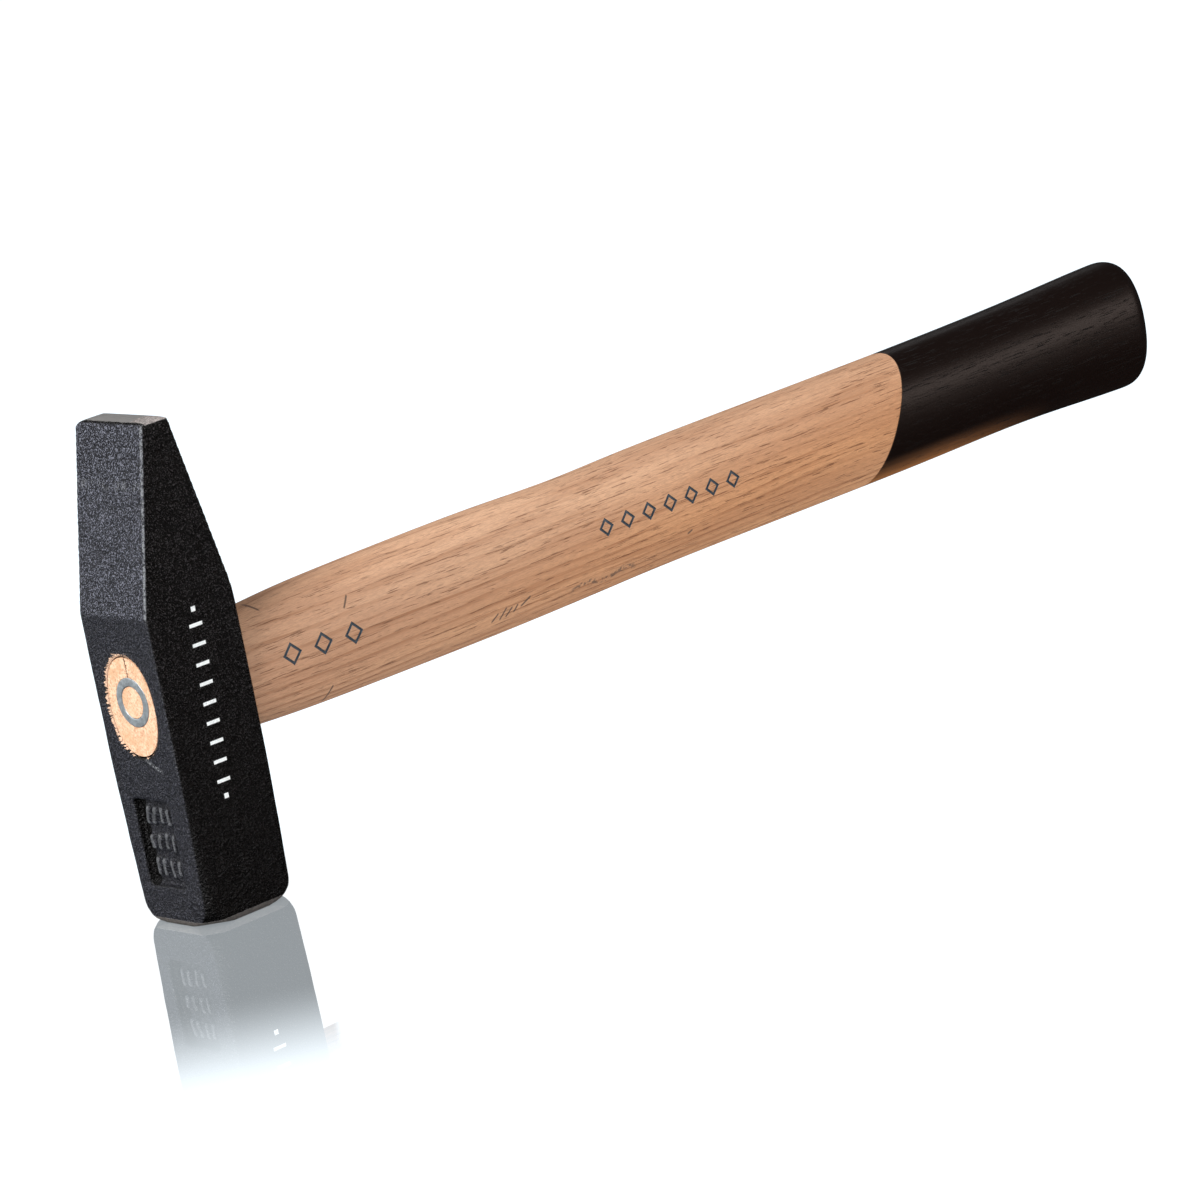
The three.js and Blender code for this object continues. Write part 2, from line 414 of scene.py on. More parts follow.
class Finish:
    """A material in the making: its shader, its coordinates in millimetres, and its node method."""

    def __init__(self, name):
        self.material = bpy.data.materials.new(name)
        self.material.use_nodes = True
        self.tree = self.material.node_tree
        self.shader = self.tree.nodes["Principled BSDF"]
        coordinates = self.node("ShaderNodeTexCoord", output="Object")
        self.place = self.stretched(coordinates, (1 / MM,) * 3)
        split = self.node("ShaderNodeSeparateXYZ", inputs={"Vector": self.place})
        self.x = split
        self.y = Wire(self, split.socket.node.outputs["Y"])
        self.z = Wire(self, split.socket.node.outputs["Z"])

    def node(self, kind, settings=None, inputs=None, output=0):
        """Adds a node: its settings first, then the values or wires of its sockets."""
        node = self.tree.nodes.new(kind)
        for key, value in (settings or {}).items():
            setattr(node, key, value)
        for key, value in (inputs or {}).items():
            if isinstance(value, Wire):
                self.tree.links.new(value.socket, node.inputs[key])
            else:
                node.inputs[key].default_value = value
        return Wire(self, node.outputs[output])

    def math(self, operation, *values):
        return self.node("ShaderNodeMath", {"operation": operation}, dict(enumerate(values)))

    def stretched(self, vector, scale, turn=(0, 0, 0)):
        """Coordinates turned and stretched."""
        inputs = {"Vector": vector, "Scale": scale, "Rotation": turn}
        return self.node("ShaderNodeMapping", inputs=inputs)

    def noise(self, vector, scale, detail=2.0, roughness=0.5, distortion=0.0):
        """A cloudy pattern between 0 and 1, mostly near a half."""
        inputs = {
            "Vector": vector,
            "Scale": scale,
            "Detail": detail,
            "Roughness": roughness,
            "Distortion": distortion,
        }
        return self.node("ShaderNodeTexNoise", inputs=inputs)

    def cells(self, vector, scale):
        return self.node("ShaderNodeTexVoronoi", inputs={"Vector": vector, "Scale": scale})

    def ease(self, value, low, high, start=0.0, end=1.0):
        """A value carried smoothly from one range to another."""
        inputs = {0: value, 1: low, 2: high, 3: start, 4: end}
        return self.node("ShaderNodeMapRange", {"interpolation_type": "SMOOTHSTEP"}, inputs)

    def near(self, value, centre, half_width, soft):
        """1 where a value is within a half width of a centre, 0 beyond it."""
        return self.ease(abs(value - centre), half_width, half_width + soft, 1.0, 0.0)

    def blend(self, factor, first, second, mode="MIX"):
        """Two colours mixed by a factor."""
        first, second = (c if isinstance(c, Wire) else (*c, 1) for c in (first, second))
        settings = {"data_type": "RGBA", "blend_type": mode}
        return self.node("ShaderNodeMix", settings, {0: factor, 6: first, 7: second}, output=2)

    def tinted(self, factor, base, tint):
        """A colour multiplied by a tint as far as a factor says."""
        return self.blend(factor, base, self.blend(1.0, base, tint, "MULTIPLY"))

    def most(self, a, b):
        return self.math("MAXIMUM", a, b)

    def fraction(self, value):
        """How far a value is past the whole number below it."""
        return value - self.math("FLOOR", value)

    def feed(self, **sockets):
        """Feeds the shader: underscores in a name stand for spaces."""
        for key, value in sockets.items():
            socket = self.shader.inputs[key.replace("_", " ")]
            if isinstance(value, Wire):
                self.tree.links.new(value.socket, socket)
            else:
                socket.default_value = value

    def bump(self, height, distance_mm, strength=1.0, normal=None):
        """A bump whose height of 1 stands that far out of the surface."""
        inputs = {"Height": height, "Distance": distance_mm * MM, "Strength": strength}
        if normal:
            inputs["Normal"] = normal
        return self.node("ShaderNodeBump", inputs=inputs)


def scaled(shade, *factors):
    """A colour with its channels multiplied, by one factor or by one for each."""
    factors = factors * 3 if len(factors) == 1 else factors
    return [channel * factor for channel, factor in zip(shade, factors)]


def forged_lacquer(settings):
    """Textured black lacquer on the forging, bare ground steel at the face bevel and the crest."""
    f = Finish("forged_lacquer")

    # Shot-blast texture under the lacquer: pits of about a third of a millimetre, a finer tooth
    # and a slow swell.
    pits = f.noise(f.place, 1.5, 2.0, 0.5)
    tooth = f.noise(f.place, 3.0, 2.0, 0.6)
    swell = f.noise(f.place, 0.3, 2.0)
    texture = pits + tooth * 0.7 + swell * 0.6
    scratches = f.noise(f.stretched(f.place, (9, 0.5, 3), (0.1, 0.0, 0.2)), 1.0, 3.0, 0.7)

    crest, foot, near_end = ground_zones(f, settings)
    ground = f.most(crest, foot)
    steel_shade = ground_steel(f, settings, pits, tooth, scratches, crest * near_end, foot)

    facing, on_slope, inside_stamp = eye_side_zones(f, settings)
    lacquer = lit_speckled_lacquer(f, settings, pits, tooth, facing, on_slope)
    lacquer = frayed_and_shaded_eye(f, settings, lacquer)
    worn = worn_spots(f, tooth, facing, on_slope, inside_stamp)
    lacquer = f.blend(worn, lacquer, (0.27, 0.275, 0.285))
    lacquer = f.blend(cheek_print(f) * 0.97, lacquer, settings.print_white)

    rough_paint = 0.26 + facing * 0.12 + (tooth - 0.5) * 0.25
    rough_steel = 0.36 + scratches * 0.22
    grit = f.bump(texture, 0.40)
    lines = f.bump(scratches, 0.05, 0.5)
    vectors = {"data_type": "VECTOR"}
    f.feed(
        Base_Color=f.blend(ground, lacquer, steel_shade),
        Metallic=crest * 0.45,
        Roughness=rough_paint + (rough_steel - rough_paint) * ground,
        Specular_IOR_Level=0.28,
        Normal=f.node("ShaderNodeMix", vectors, {0: ground, 4: grit, 5: lines}, output=1),
    )
    return f.material


def ground_zones(f, settings):
    """Where the steel is ground bare: the crest, the striking face's bevel and the crest's near end."""
    top, half = HEAD_HIGH.z / MM, HEAD_HIGH.y / MM
    across = settings.crest_end_across / MM
    crest_drop = 0.45
    crest_back = -1.9
    bevel_top = 1.15
    wander = (f.noise(f.place, 0.9, 2.0) - 0.5) * 0.5
    sag = f.ease(abs(f.y), half - across, half, 0.0, 0.4)
    crest = f.ease(f.z + sag + wander * 0.5, top - crest_drop, top - crest_drop + 0.2)
    crest = crest * f.ease(f.x + wander, crest_back, crest_back + 0.5)
    foot = f.ease(f.z + wander * 0.6, bevel_top, bevel_top + 0.2, 1.0, 0.0)
    near_end = f.ease(f.y + wander, across - half - 0.3, across - half - 0.6)
    return crest, foot, near_end


def ground_steel(f, settings, pits, tooth, scratches, speckled_end, foot):
    """Scratched and hazy steel, speckled at the crest's near end and dark round the striking face."""
    haze = f.noise(f.place, 0.35, 3.0)
    shade = f.blend(scratches, scaled(settings.steel, 0.72), scaled(settings.steel, 1.25))
    shade = f.blend(haze * 0.5, shade, scaled(settings.steel, 0.55))
    speckled = f.blend(f.ease(tooth, 0.4, 0.6), (0.24, 0.21, 0.20), (0.62, 0.56, 0.54))
    shade = f.blend(speckled_end, shade, speckled)
    # Darker steel on the striking face's bevel.
    dark_bevel_steel = f.blend(pits, (0.035, 0.031, 0.029), (0.13, 0.115, 0.105))
    return f.blend(foot, shade, dark_bevel_steel)


def eye_side_zones(f, settings):
    """1 on the eye side and less in its stamp field, 1 up on the peen, and 1 inside the field."""
    top, half = HEAD_HIGH.z / MM, HEAD_HIGH.y / MM
    slope_foot = settings.eye_side_break / MM
    lean = (settings.crest_back / MM + half) / (top - slope_foot)
    surface = f.most(f.z - slope_foot, 0.0) * lean - half
    lit_middle, lit_half = -0.6, 4.8
    field_middle = STAMP_MIDDLE.z / MM
    field_half = STAMP_HALF.z / MM - 0.6
    lip = -8.8
    inside_stamp = f.near(f.y, lit_middle, lit_half, 0.5)
    inside_stamp = inside_stamp * f.near(f.z, field_middle, field_half, 0.4)
    inside_stamp = inside_stamp * f.ease(f.x, lip, lip - 0.4)
    # facing says where the lacquer takes its painted lit shade: the eye side, and three quarters of it
    # on the field's floor.
    facing = f.most(f.ease(f.x - surface, 0.55, 0.2), inside_stamp * 0.75)
    on_slope = f.ease(f.z, slope_foot - 0.4, slope_foot + 0.4)
    return facing, on_slope, inside_stamp


def lit_speckled_lacquer(f, settings, pits, tooth, facing, on_slope):
    """Lacquer with painted light: a lighter, bluish lit copy of the lacquer and painted highlight specks
    on the eye side, most of all on the peen's slope, and painted glints on the cheek that grow brighter
    higher up.
    """
    # Painted light: the eye side gets a lighter, bluish copy of the black lacquer, as if lit.
    shade = f.blend(facing, settings.paint, (0.0075, 0.0075, 0.0105))
    # Painted highlight specks on the eye side, strongest on the peen's slope.
    highlight_speck = f.ease(tooth * 0.8 + pits * 0.2, 0.50, 0.62)
    shade = f.blend(highlight_speck * facing * (0.22 + on_slope * 0.53), shade, (0.21, 0.215, 0.26))
    # Painted glints on the cheek, brighter towards the top.
    glint_brighter_higher = f.ease(f.z, 0.0, 80.0, 0.2, 1.0)
    glint = f.ease(tooth, 0.57, 0.67) * glint_brighter_higher
    return f.blend(glint * (1.0 - facing), shade, (0.048, 0.042, 0.043))


def frayed_and_shaded_eye(f, settings, lacquer):
    """Paints shade into the gap round the wood in the eye, and smears fibres of the wood across it."""
    height = f.z - settings.eye_height / MM
    oval = (abs(f.y) / (settings.eye_half_width / MM)) ** OVAL_POWER
    oval = oval + (abs(height) / (settings.eye_half_height / MM)) ** OVAL_POWER
    # Painted shade: a dark ring just round the eye's mouth.
    shade = f.blend(f.ease(oval, 1.04, 1.16, 1.0, 0.0), lacquer, (0.0015, 0.0012, 0.0012))
    frayed_side = f.ease(f.y + height * 0.5, -4.0, 3.0, -0.12, 0.05)
    fibres = f.noise(f.stretched(f.place, (1.0, 1.0, 2.6), (0.5, 0, 0)), 1.0, 3.0, 0.6)
    fray = f.ease(fibres + frayed_side - (oval - 1.08) * 1.3, 0.50, 0.54)
    fray = fray * f.ease(oval, 1.32, 1.28) * f.ease(f.x, -10.6, -11.0)
    return f.blend(fray, shade, (0.78, 0.50, 0.34))


def worn_spots(f, tooth, facing, on_slope, inside_stamp):
    """Wear where edges stand out, a row of scuffs across the peen and one under the eye."""
    half = HEAD_HIGH.y / MM
    edge = f.node("ShaderNodeAttribute", {"attribute_name": "edge_wear"}, output="Fac")
    chips = f.ease(f.noise(f.place, 1.9, 3.0, 0.6), 0.46, 0.60)
    near_edge = f.ease(f.y, 0.8 - half, 0.3 - half) * on_slope * facing
    rubbed = near_edge * f.ease(f.noise(f.place, 1.3, 3.0, 0.65), 0.43, 0.56)
    wear = f.most(f.ease(edge, 0.30, 0.75) * chips, rubbed)
    strokes = f.noise(f.stretched(f.place, (1, 1.6, 0.3)), 1.0, 2.0)
    peen_scuff_height = 92.4
    peen_scuff = f.near(f.z, peen_scuff_height, 0.5, 0.8) * f.ease(strokes, 0.50, 0.58)
    eye_scuff_y, eye_scuff_height = -3.6, 36.4
    eye_scuff = f.near(f.z + f.y * -0.45, eye_scuff_height, 0.25, 0.35)
    eye_scuff = eye_scuff * f.near(f.y, eye_scuff_y, 2.2, 0.8)
    scuffs = f.most(peen_scuff * 0.35, eye_scuff * 0.6) * facing * f.ease(tooth, 0.40, 0.58)
    field_wear = inside_stamp * f.ease(edge, 0.12, 0.4) * 0.35
    return f.most(wear * 0.8, f.most(scuffs, field_wear))


def cheek_print(f):
    """1 on the printed bars of the cheek that faces -Y: a row of short strokes between two dots."""
    first, pitch, count = 29.0, 4.1, 9
    half_bar = 1.62
    half_stroke = 0.085
    half_dot = 0.5
    low_dot, high_dot = first - 3.3, first + pitch * count - 0.8
    half_row = pitch * (count - 1) / 2
    aside = f.x - (-0.1 + (f.z - 45.0) * 0.035)
    cell = f.fraction((f.z - first + pitch / 2) / pitch) - 0.5
    strokes = f.near(cell, 0.0, half_stroke, 0.012) * f.near(f.z, first + half_row, half_row + 1.2, 0.05)
    strokes = strokes * f.near(aside, 0.0, half_bar, 0.08)
    dots = f.most(f.near(f.z, low_dot, half_dot, 0.06), f.near(f.z, high_dot, half_dot, 0.06))
    dots = dots * f.near(aside, 0.0, half_dot, 0.08)
    return f.most(strokes, dots) * f.ease(f.y, -11.0, -11.2)


def hickory(settings):
    """Sanded hickory with growth lines and pores, and a slanting black dip over the grip."""
    f = Finish("hickory")
    line, lines = growth_lines(f)
    streak = f.noise(along_grain(f, 0.013, 1.9), 1.0, 3.0, 0.6, 0.15)
    fine = f.noise(along_grain(f, 0.13, 1.0), 4.6, 3.0, 0.7)
    dash = f.noise(along_grain(f, 0.17, 4.2), 1.0, 2.0, 0.55)
    pores = f.ease(dash + line * 0.06, 0.62, 0.70)

    wood = sanded_wood(f, settings, lines, streak, fine, pores)
    end, end_face, end_height = end_grain(f)
    wood = f.blend(end_face, wood, end)
    dip = grip_dip(f, settings)
    lacquer = dip_lacquer(f, settings, pores)

    wood_rough = 0.58 + (fine - 0.5) * 0.18 + end_face * 0.25
    dip_rough = 0.37 + (fine - 0.5) * 0.10 + pores * 0.25
    grain = fine * 0.35 + streak * 0.35 - pores * 0.8 - line * 0.15
    grain = grain * (1.0 - dip * 0.45) + end_height
    film = f.bump(dip, 0.12, 0.8)
    f.feed(
        Base_Color=f.blend(dip, wood, lacquer),
        Roughness=wood_rough + (dip_rough - wood_rough) * dip,
        Specular_IOR_Level=0.36,
        Normal=f.bump(grain, 0.07, 0.75, film),
    )
    return f.material


def along_grain(f, along, across):
    """Coordinates drawn out along the grain, which runs a little uphill towards the grip."""
    return f.stretched(f.place, (along, across, across), (0, math.radians(1.1), 0))


def growth_lines(f):
    """The growth lines, and the same broken where the wood is paler and fainter high up.

    They are rings round a pith outside the plank, warped slowly along it, and each line darkens
    towards one side.
    """
    pith_y, pith_z = 25.0, 20.0
    rings_per_mm = 0.62
    warp = f.noise(f.stretched(f.place, (0.008, 0.05, 0.05)), 1.0, 2.0) * 7.0
    tremor = f.noise(f.stretched(f.place, (0.03, 0.5, 0.5)), 1.0, 2.0) * 1.1
    radius = ((f.y - pith_y) ** 2.0 + (f.z - pith_z) ** 2.0) ** 0.5
    phase = f.fraction((radius + warp + tremor - f.x * 0.02) * rings_per_mm)
    line = f.ease(phase, 0.30, 0.93) * f.ease(phase, 1.0, 0.94)
    broken = f.ease(f.noise(along_grain(f, 0.03, 0.7), 1.0, 2.0), 0.36, 0.60)
    lower = f.ease(f.z + f.x * 0.03, 58.0, 46.0, 0.45, 1.0)
    return line, line * (0.15 + broken * 0.85) * lower


def sanded_wood(f, settings, lines, streak, fine, pores):
    """The wood's colour along its sides, from broad shades down to pores, nicks and handling, with shade
    painted in by the head, low down and where it enters the head.
    """
    broad = f.noise(f.stretched(f.place, (0.012, 0.16, 0.16)), 1.0, 2.0)
    streaks = f.ease(streak, 0.52, 0.62)
    wood = f.blend(f.ease(broad, 0.35, 0.65), settings.early, scaled(settings.early, 0.86, 0.82, 0.80))
    wood = f.blend(lines * 0.66, wood, settings.late)
    wood = f.blend(streaks * (0.26 + lines * 0.54), wood, settings.late)
    wood = f.blend(f.ease(fine, 0.38, 0.66) * 0.46, wood, scaled(settings.early, 0.56))
    wood = f.blend(pores * 0.72, wood, settings.pore)

    # Darker and greyer by the head: partly dirt, partly a painted shadow of the head. Warmer low down
    # and by
    # the grip: painted shade and warm bounce light low down, over wood that is itself warmer by the
    # grip.
    # Painted shade where it enters the head.
    dirt_and_head_shadow = f.ease(f.x, 90.0, 12.0)
    wood = f.tinted(dirt_and_head_shadow * 0.9, wood, (0.84, 0.79, 0.76))
    # Painted shade and warm bounce light low down, reaching higher towards the grip, where the wood is
    # warmer too.
    warm_tone_and_low_shade = f.ease(f.x, 20.0, 150.0, 0.5, 1.0) * f.ease(f.z + f.x * -0.06, 54.0, 34.0)
    wood = f.tinted(warm_tone_and_low_shade, wood, (0.97, 0.75, 0.53))
    # Painted shade where the wood enters the head.
    head_join_shade = f.ease(f.x, 13.2, 12.3)
    wood = f.blend(head_join_shade * 0.7, wood, (0.10, 0.055, 0.03))
    return f.blend(handling_marks(f) * 0.85, wood, (0.09, 0.06, 0.045))


def end_grain(f):
    """The colour of the end grain, where it lies, and its height for the bump.

    It is bright and crumbly, with a fine check running up from the ring.
    """
    check_y, check_z = -0.5, 55.7
    crumb = f.noise(f.place, 2.2, 4.0, 0.65)
    stain = f.ease(f.noise(f.place, 0.34, 2.0), 0.42, 0.68)
    end = f.blend(f.ease(crumb, 0.3, 0.62), (0.50, 0.25, 0.14), (0.88, 0.56, 0.37))
    end = f.blend(stain * 0.55, end, (0.62, 0.33, 0.17))
    check = f.near(f.y - (crumb - 0.5) * 1.6, check_y, 0.07, 0.12) * f.near(f.z, check_z, 2.2, 0.3)
    end = f.blend(check, end, (0.09, 0.04, 0.02))
    end_face = f.ease(f.x, -10.55, -10.75)
    return end, end_face, end_face * crumb * 3.0 - check * end_face * 4.0


def grip_dip(f, settings):
    """1 where the grip is dipped, past a line that slants up and towards the far side."""
    start = settings.dip_start / MM
    slant = f.x - (f.z - 49.6) * 0.55 + (f.y + 9.0) * 0.2
    return f.ease(slant, start - 0.15, start + 0.3)


def dip_lacquer(f, settings, pores):
    """Black lacquer with a warm brown glow painted along its lower edge, standing in for warm reflected
    light.
    """
    uneven = (f.noise(along_grain(f, 0.035, 1.0), 0.5, 2.0) - 0.5) * 2.0
    # Painted warm reflection along the grip's lower edge.
    painted_warm_glow = f.ease(f.z + uneven, 41.5, 34.8) ** 2.0
    painted_warm_glow = painted_warm_glow * f.ease(f.x, 255.0, 215.0)
    shade = f.blend(painted_warm_glow, settings.lacquer, (0.34, 0.12, 0.03))
    return f.blend(pores * 0.6, shade, (0.003, 0.0025, 0.0025))


# Nicks in the wood: place along the handle, height, half length and slant, in mm and radians.
NICKS = (
    (33.6, 36.4, 1.5, 1.1),
    (41.0, 54.2, 1.2, 0.9),
    (20.5, 59.0, 1.0, -0.8),
    (79.3, 38.9, 0.9, 0.7),
    (81.6, 39.2, 1.2, 0.9),
    (83.3, 39.1, 1.0, 0.8),
    (85.2, 39.4, 0.7, 0.9),
    (88.0, 40.1, 1.3, 0.5),
    (136.7, 41.3, 0.5, 0.4),
)


def handling_marks(f):
    """Short slanting nicks on the side in view, and a wavy smudge low down beside them."""
    half_width = 0.10
    marks = 0.0
    for x, z, half_length, lean in NICKS:
        across = (f.x - x) * -math.sin(lean) + (f.z - z) * math.cos(lean)
        run = (f.x - x) * math.cos(lean) + (f.z - z) * math.sin(lean)
        nick = f.near(across, 0.0, half_width, 0.22) * f.near(run, 0.0, half_length, 0.5)
        marks = f.most(nick, marks)
    wave = f.math("SINE", f.x * 0.55) * 0.5
    smudge = f.near(f.z - wave, 38.4, 0.25, 0.6) * f.near(f.x, 111.0, 8.0, 2.5)
    smudge = smudge * f.ease(f.noise(f.place, 1.1, 2.0), 0.42, 0.6)
    return f.most(marks, smudge * 0.8) * f.ease(f.y, 0.0, -2.0)


def mark_fill(settings):
    """Slate-grey fill in the pressed lozenges."""
    f = Finish("mark_fill")
    mottle = f.noise(f.place, 2.4, 3.0)
    shade = f.blend(mottle, scaled(settings.mark, 0.75), scaled(settings.mark, 1.3))
    f.feed(Base_Color=shade, Roughness=0.55 + mottle * 0.2, Normal=f.bump(mottle, 0.05, 0.6))
    return f.material


def zinc_plate(settings):
    """Zinc-plated steel with soft spangles and hammer scuffs on its end."""
    f = Finish("zinc_plate")
    spangle = f.cells(f.place, 0.9)
    mottle = f.noise(f.place, 1.6, 4.0, 0.65)
    shade = f.blend(f.ease(spangle, 0.2, 0.9), settings.zinc, scaled(settings.zinc, 1.35))
    shade = f.blend(f.ease(mottle, 0.5, 0.72) * 0.6, shade, scaled(settings.zinc, 0.5))
    scrape = f.noise(f.stretched(f.place, (1, 6, 0.6), (0.5, 0, 0)), 1.0, 2.0)
    f.feed(
        Base_Color=shade,
        Metallic=0.8,
        Roughness=0.36 + mottle * 0.22,
        Normal=f.bump(mottle * 0.7 + scrape * 0.5, 0.06, 0.8),
    )
    return f.material


def studio_floor():
    """White floor that mirrors the head where the camera sees it close by, and fades to matt."""
    f = Finish("studio_floor")
    f.feed(
        Base_Color=(0.10, 0.10, 0.10, 1),
        Roughness=1.0,
        Specular_IOR_Level=0.0,
        Emission_Color=(0.855, 0.94, 1.0, 1),
        Emission_Strength=1.18,
    )
    towards_x, towards_y = -0.565, -0.825
    nearer = f.x * towards_x + f.y * towards_y
    aside = abs(f.x * -towards_y + f.y * towards_x)
    share = f.ease(nearer, 64.0, 138.0, 0.74, 0.0) * f.ease(aside, 15.8, 18.5, 1.0, 0.0)
    share = share * f.ease(nearer, -45.0, -15.0)
    mirror = f.node("ShaderNodeBsdfAnisotropic", inputs={"Color": (1, 1, 1, 1), "Roughness": 0.0})
    both = f.node("ShaderNodeMixShader", inputs={0: share, 2: mirror})
    f.tree.links.new(f.shader.outputs["BSDF"], both.socket.node.inputs[1])
    f.tree.links.new(both.socket, f.tree.nodes["Material Output"].inputs["Surface"])
    return f.material


# ---------------------------------------------------------------- the head


class HAMMER_OT_forge_head(bpy.types.Operator):
    """Forges the head: grinds a bar to its planes, cuts the eye and the stamp field, adds the skin"""

    bl_idname = "hammer.forge_head"
    bl_label = "Forge Head"
    bl_options = {"REGISTER", "UNDO"}

    def execute(self, context):
        settings = context.scene.hammer_head
        head = ground_bar(settings)
        apply_modifier(
            head,
            "BEVEL",
            width=settings.edge_round,
            segments=3,
            limit_method="ANGLE",
            angle_limit=math.radians(12),
        )
        cut_or_join(head, eye_tool(settings), "DIFFERENCE")
        cut_or_join(head, stamp_tool(), "DIFFERENCE")
        for bar in stamp_bars() + [forging_line()]:
            cut_or_join(head, bar, "UNION")
        raise_skin(head, settings)
        mark_edges(head, "edge_wear", strength=3.2)
        head.data.materials.clear()
        head.data.materials.append(forged_lacquer(settings))
        make_active(head)
        bpy.ops.object.shade_smooth()
        finish_piece(head, "forged_steel_black", "hammer_head")
        return {"FINISHED"}


def ground_bar(s):
    """A square bar ground to the planes of the poll and the peen."""
    half, top = HEAD_HIGH.y - s.skin, HEAD_HIGH.z
    flare = HEAD_HIGH.x - HEAD_HIGH.y
    bar = add_box("forged_head", (-half, -half, 0), (half, half, top))
    with edit_mode(bar):
        swell_poll(s, half, flare)
        grind_peen(s, half, top)
        grind_corners(s, half)
        grind_face_bevel(s, half, flare)
        crown_break(s, half)
    return bar


def swell_poll(s, half, flare):
    """Swells the handle side of the poll outwards in a soft curve."""
    steps = 4
    for step in range(1, steps):
        score(s.flare_top + (s.flare_foot - s.flare_top) * step / steps)
    for step in range(1, steps + 1):
        height = s.flare_top + (s.flare_foot - s.flare_top) * step / steps
        share = [(k / steps) ** 2 * (3 - 2 * k / steps) for k in (step, step - 1)]
        pick("VERT", lambda v: v.co.x > half - MM / 10 and v.co.z < height + MM / 10)
        bpy.ops.transform.translate(value=(flare * (share[0] - share[1]), 0, 0))


# The crown of the crest: a point on each small plane, across X and up Z in mm, and the way it faces.
CREST_PLANES = (
    ((3.7, 104.7), (1.1, 1.0)),
    ((2.6, 105.0), (0.3, 1.1)),
    ((0.0, 105.0), (-0.15, 1.2)),
    ((-1.2, 104.85), (-0.35, 1.15)),
    ((-2.35, 104.5), (-0.6, 0.5)),
)


def grind_peen(s, half, top):
    """The two sloping faces of the peen, its crown and the crest's two ends."""
    eye_slope = Vector((s.crest_back + half, 0, top - s.eye_side_break))
    handle_slope = Vector((s.crest_front - half, 0, top - s.handle_side_break))
    grind((-half, 0, s.eye_side_break), (-eye_slope.z, 0, eye_slope.x))
    grind((half, 0, s.handle_side_break), (handle_slope.z, 0, -handle_slope.x))
    for (x, z), (across, up) in CREST_PLANES:
        grind((x * MM, 0, z * MM), (across, 0, up))
    for side, radius in ((-1, s.near_end_round), (1, s.far_end_round)):
        end_height = top - s.crest_end_down
        grind((0, side * half, end_height), (0, side * s.crest_end_down, s.crest_end_across))
        centre = Vector((0, side * (half - radius), end_height - radius))
        for turn in (20, 45, 70):
            outward = Vector((0, side * math.cos(math.radians(turn)), math.sin(math.radians(turn))))
            grind(centre + outward * radius, outward)


# How the poll's corners curl in at the striking face: (inset, height) in mm, in a corner's middle
# and towards the sides.
CORNER_CURL = ((4.0, 0.0), (3.0, 0.25), (2.05, 0.65), (1.15, 1.25), (0.45, 2.2), (0.0, 4.3))
SIDE_CURL = ((2.3, 0.0), (1.7, 0.2), (1.1, 0.6), (0.55, 1.3), (0.0, 3.2))


def corner_reach(half, radius, turn):
    """How far a plane turned away from a side stands out where a corner is rounded."""
    return (half - radius) * (abs(math.cos(turn)) + abs(math.sin(turn))) + radius


def grind_corners(s, half):
    """Rounds each corner of the poll by planes that run out at a height and curl in at the face."""
    for quarter in range(4):
        for within, curl in ((22.5, SIDE_CURL), (45.0, CORNER_CURL), (67.5, SIDE_CURL)):
            turn = math.radians(90 * quarter + within)
            outward = Vector((math.cos(turn), math.sin(turn), 0))
            profile = []
            for inset, z in curl:
                radius = s.corner_radius * (1 - z * MM / s.corner_top)
                profile.append((z * MM, corner_reach(half, radius, turn) - inset * MM))
            profile.append((s.corner_top, corner_reach(half, 0.0, turn)))
            for (low, low_reach), (high, high_reach) in zip(profile, profile[1:]):
                normal = outward * (high - low) - Vector((0, 0, high_reach - low_reach))
                grind(outward * low_reach + Vector((0, 0, low)), normal)


def grind_face_bevel(s, half, flare):
    """The steep bevel on the four sides of the striking face."""
    for way in range(4):
        turn = math.radians(90 * way)
        outward = Vector((math.cos(turn), math.sin(turn), 0))
        reach = half + (flare if way == 0 else 0)
        normal = outward * s.bevel_height - Vector((0, 0, s.bevel_depth))
        grind(outward * reach + Vector((0, 0, s.bevel_height)), normal)


def crown_break(s, half):
    """Rounds the break between poll and peen on the handle side."""

    def on_break(edge):
        a, b = (v.co for v in edge.verts)
        level = abs(a.z - s.handle_side_break) < MM / 2 and abs(b.z - a.z) < MM / 10
        return level and min(a.x, b.x) > half - MM / 2

    pick("EDGE", on_break)
    bpy.ops.mesh.bevel(offset=s.break_round, segments=6, affect="EDGES")


def eye_tool(s):
    """The oval hole through the head, narrowest at its waist."""
    reach = HEAD_HIGH.x + 2 * MM
    side = HEAD_HIGH.y
    mouth = (s.eye_half_height, s.eye_half_width)
    waist = (s.eye_half_height - s.eye_pinch, s.eye_half_width - s.eye_pinch)
    lip = (s.eye_half_height + 0.15 * MM, s.eye_half_width + 0.1 * MM)
    lip_depth = 0.6 * MM
    stops = (
        (-reach, lip),
        (-side, lip),
        (lip_depth - side, mouth),
        (0.0, waist),
        (side, mouth),
        (reach, mouth),
    )
    sections = [(x, s.eye_height, *size) for x, size in stops]
    return loft_ovals("eye_tool", sections, around=72, power=OVAL_POWER)


# The stamp field on the eye side of the poll.
STAMP_MIDDLE = Vector((0, 0.5 * MM, 17.6 * MM))
STAMP_HALF = Vector((0, 6.5 * MM, 9.8 * MM))
STAMP_DEPTH = 1.8 * MM


